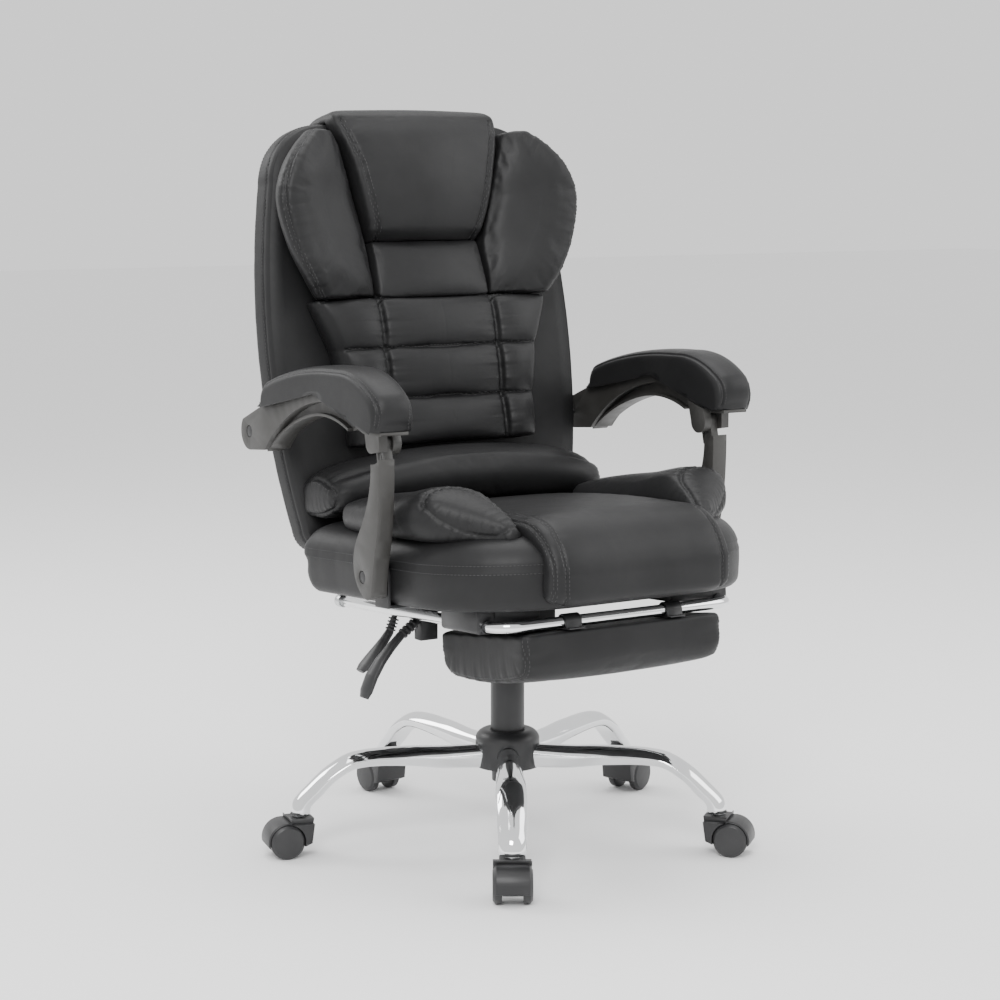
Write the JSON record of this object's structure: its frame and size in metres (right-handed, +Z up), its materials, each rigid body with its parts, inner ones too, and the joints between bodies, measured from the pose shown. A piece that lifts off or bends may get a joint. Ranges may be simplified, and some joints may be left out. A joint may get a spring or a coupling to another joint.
{
  "type": "office chair",
  "caption": "Reclining swivel office chair with tufted back, side bolsters, lumbar roll, linked padded armrests, gas lift, castered star base and a pull-out footrest.",
  "frame": {"origin": "on the floor under the gas lift, in the middle of the star base", "axes": "+Z up, the sitter faces -Y, +X towards the sitter's left hand"},
  "size_m": [0.7173, 0.7188, 1.0729],
  "materials": {
    "chrome_tube": "polished",
    "black_plastic": "satin",
    "caster_plastic": "satin",
    "grey_plastic": "satin",
    "zinc_steel": "satin",
    "black_steel": "satin",
    "plywood": "matte",
    "black_upholstery": "satin"
  },
  "bodies": {
    "base": {"base_legs": "chrome_tube", "base_hub": "chrome_tube", "hub_cover": "black_plastic", "caster_stems": "zinc_steel", "lift_outer_tube": "black_steel", "lift_guide_bush": "black_plastic"},
    "caster_1_fork": {"caster_1_fork": "black_plastic"},
    "caster_1_wheel_left": {"caster_1_wheel_left": "caster_plastic"},
    "caster_1_wheel_right": {"caster_1_wheel_right": "caster_plastic"},
    "caster_2_fork": {"caster_2_fork": "black_plastic"},
    "caster_2_wheel_left": {"caster_2_wheel_left": "caster_plastic"},
    "caster_2_wheel_right": {"caster_2_wheel_right": "caster_plastic"},
    "caster_3_fork": {"caster_3_fork": "black_plastic"},
    "caster_3_wheel_left": {"caster_3_wheel_left": "caster_plastic"},
    "caster_3_wheel_right": {"caster_3_wheel_right": "caster_plastic"},
    "caster_4_fork": {"caster_4_fork": "black_plastic"},
    "caster_4_wheel_left": {"caster_4_wheel_left": "caster_plastic"},
    "caster_4_wheel_right": {"caster_4_wheel_right": "caster_plastic"},
    "caster_5_fork": {"caster_5_fork": "black_plastic"},
    "caster_5_wheel_left": {"caster_5_wheel_left": "caster_plastic"},
    "caster_5_wheel_right": {"caster_5_wheel_right": "caster_plastic"},
    "spindle": {"lift_piston_rod": "zinc_steel", "lift_thrust_bearing": "zinc_steel"},
    "seat": {"lift_cylinder": "chrome_tube", "mechanism_housing": "black_steel", "seat_pan": "black_steel", "seat_cushion": "black_upholstery", "seat_front_panel": "black_upholstery", "seat_bolsters": "black_upholstery", "footrest_guides": "grey_plastic", "seat_bolts": "black_steel", "recline_pivot_pins": "zinc_steel", "lever_guide": "black_plastic", "recline_strut_cylinder": "black_steel"},
    "height_lever": {"height_lever_rod": "black_steel", "height_lever_grip": "black_plastic"},
    "release_pin": {"lift_release_pin": "zinc_steel"},
    "recline_lever": {"recline_lever_rod": "black_steel", "recline_lever_grip": "black_plastic"},
    "back": {"back_bracket": "black_steel", "back_board": "plywood", "back_cushion": "black_upholstery", "back_tufted_panel": "black_upholstery", "headrest_pillow": "black_upholstery", "back_wings": "black_upholstery", "lumbar_roll": "black_upholstery", "back_bolts": "black_steel"},
    "recline_strut_rod": {"recline_strut_rod": "zinc_steel"},
    "arm_post_left": {"arm_post_left": "grey_plastic", "arm_front_pin_left": "zinc_steel"},
    "arm_left": {"arm_frame_left": "grey_plastic", "arm_pad_left": "black_upholstery"},
    "arm_post_right": {"arm_post_right": "grey_plastic", "arm_front_pin_right": "zinc_steel"},
    "arm_right": {"arm_frame_right": "grey_plastic", "arm_pad_right": "black_upholstery"},
    "footrest_slide": {"footrest_frame": "chrome_tube", "footrest_end_stops": "zinc_steel"},
    "footrest_pad": {"footrest_pad": "black_upholstery", "footrest_hinge_clips": "black_plastic"}
  },
  "joints": [
    {"name": "caster_1_swivel", "type": "hinge", "parent": "base", "child": "caster_1_fork", "pos_m": [-0.16863, -0.27197, 0.057], "axis": [0, 0, 1], "continuous": true},
    {"name": "caster_1_roll_left", "type": "hinge", "parent": "caster_1_fork", "child": "caster_1_wheel_left", "pos_m": [-0.18054, -0.29117, 0.025], "axis": [0.8499, -0.527, 0], "continuous": true},
    {"name": "caster_1_roll_right", "type": "hinge", "parent": "caster_1_fork", "child": "caster_1_wheel_right", "pos_m": [-0.18054, -0.29117, 0.025], "axis": [0.8499, -0.527, 0], "continuous": true},
    {"name": "caster_2_swivel", "type": "hinge", "parent": "base", "child": "caster_2_fork", "pos_m": [0.20655, -0.24441, 0.057], "axis": [0, 0, 1], "continuous": true},
    {"name": "caster_2_roll_left", "type": "hinge", "parent": "caster_2_fork", "child": "caster_2_wheel_left", "pos_m": [0.22113, -0.26168, 0.025], "axis": [0.7638, 0.6455, 0], "continuous": true},
    {"name": "caster_2_roll_right", "type": "hinge", "parent": "caster_2_fork", "child": "caster_2_wheel_right", "pos_m": [0.22113, -0.26168, 0.025], "axis": [0.7638, 0.6455, 0], "continuous": true},
    {"name": "caster_3_swivel", "type": "hinge", "parent": "base", "child": "caster_3_fork", "pos_m": [0.29628, 0.12091, 0.057], "axis": [0, 0, 1], "continuous": true},
    {"name": "caster_3_roll_left", "type": "hinge", "parent": "caster_3_fork", "child": "caster_3_wheel_left", "pos_m": [0.3172, 0.12945, 0.025], "axis": [-0.3778, 0.9259, 0], "continuous": true},
    {"name": "caster_3_roll_right", "type": "hinge", "parent": "caster_3_fork", "child": "caster_3_wheel_right", "pos_m": [0.3172, 0.12945, 0.025], "axis": [-0.3778, 0.9259, 0], "continuous": true},
    {"name": "caster_4_swivel", "type": "hinge", "parent": "base", "child": "caster_4_fork", "pos_m": [-0.02344, 0.31914, 0.057], "axis": [0, 0, 1], "continuous": true},
    {"name": "caster_4_roll_left", "type": "hinge", "parent": "caster_4_fork", "child": "caster_4_wheel_left", "pos_m": [-0.02509, 0.34168, 0.025], "axis": [-0.9973, -0.0732, 0], "continuous": true},
    {"name": "caster_4_roll_right", "type": "hinge", "parent": "caster_4_fork", "child": "caster_4_wheel_right", "pos_m": [-0.02509, 0.34168, 0.025], "axis": [-0.9973, -0.0732, 0], "continuous": true},
    {"name": "caster_5_swivel", "type": "hinge", "parent": "base", "child": "caster_5_fork", "pos_m": [-0.31076, 0.07633, 0.057], "axis": [0, 0, 1], "continuous": true},
    {"name": "caster_5_roll_left", "type": "hinge", "parent": "caster_5_fork", "child": "caster_5_wheel_left", "pos_m": [-0.33271, 0.08172, 0.025], "axis": [-0.2385, -0.9711, 0], "continuous": true},
    {"name": "caster_5_roll_right", "type": "hinge", "parent": "caster_5_fork", "child": "caster_5_wheel_right", "pos_m": [-0.33271, 0.08172, 0.025], "axis": [-0.2385, -0.9711, 0], "continuous": true},
    {"name": "seat_swivel", "type": "hinge", "parent": "base", "child": "spindle", "pos_m": [0, 0, 0.094], "axis": [0, 0, 1], "continuous": true},
    {"name": "seat_lift", "type": "slide", "parent": "spindle", "child": "seat", "axis": [0, 0, 1], "range_m": [0, 0.09]},
    {"name": "height_lever_lift", "type": "hinge", "parent": "seat", "child": "height_lever", "pos_m": [-0.055, -0.00715, 0.346], "axis": [0, 1, 0], "range_deg": [0, 4.69], "stiffness_Nm_per_rad": 4},
    {"name": "release_pin_press", "type": "slide", "parent": "seat", "child": "release_pin", "axis": [0, 0, -1], "range_m": [0, 0.00452]},
    {"name": "recline_lever_lift", "type": "hinge", "parent": "seat", "child": "recline_lever", "pos_m": [-0.055, 0.04, 0.346], "axis": [0, 1, 0], "range_deg": [0, 6], "stiffness_Nm_per_rad": 4},
    {"name": "back_recline", "type": "hinge", "parent": "seat", "child": "back", "pos_m": [0, 0.248, 0.418], "axis": [-1, 0, 0], "range_deg": [0, 40]},
    {"name": "strut_slide", "type": "slide", "parent": "seat", "child": "recline_strut_rod", "axis": [0, -1, 0], "range_m": [0, 0.04671]},
    {"name": "arm_post_left_tilt", "type": "hinge", "parent": "seat", "child": "arm_post_left", "pos_m": [0.285, -0.09, 0.43], "axis": [-1, 0, 0], "range_deg": [0, 40]},
    {"name": "arm_left_level", "type": "hinge", "parent": "back", "child": "arm_left", "pos_m": [0.285, 0.22, 0.605], "axis": [-1, 0, 0], "range_deg": [-40, 0]},
    {"name": "arm_post_right_tilt", "type": "hinge", "parent": "seat", "child": "arm_post_right", "pos_m": [-0.285, -0.09, 0.43], "axis": [-1, 0, 0], "range_deg": [0, 40]},
    {"name": "arm_right_level", "type": "hinge", "parent": "back", "child": "arm_right", "pos_m": [-0.285, 0.22, 0.605], "axis": [-1, 0, 0], "range_deg": [-40, 0]},
    {"name": "footrest_pull", "type": "slide", "parent": "seat", "child": "footrest_slide", "axis": [0, -0.9982, 0.0598], "range_m": [0, 0.302]},
    {"name": "footrest_flip", "type": "hinge", "parent": "footrest_slide", "child": "footrest_pad", "pos_m": [0, -0.28581, 0.37809], "axis": [-1, 0, 0], "range_deg": [0, 172.5]}
  ],
  "couplings": [
    {"joint": "release_pin_press", "follows": "height_lever_lift", "m_per_rad": 0.055},
    {"joint": "strut_slide", "follows": "back_recline", "m_per_rad": 0.066627},
    {"joint": "arm_post_left_tilt", "follows": "back_recline", "ratio": 1},
    {"joint": "arm_post_right_tilt", "follows": "back_recline", "ratio": 1},
    {"joint": "arm_left_level", "follows": "back_recline", "ratio": -1},
    {"joint": "arm_right_level", "follows": "back_recline", "ratio": -1},
    {"joint": "footrest_flip", "follows": "footrest_pull", "rad_per_m": 9.9403}
  ]
}
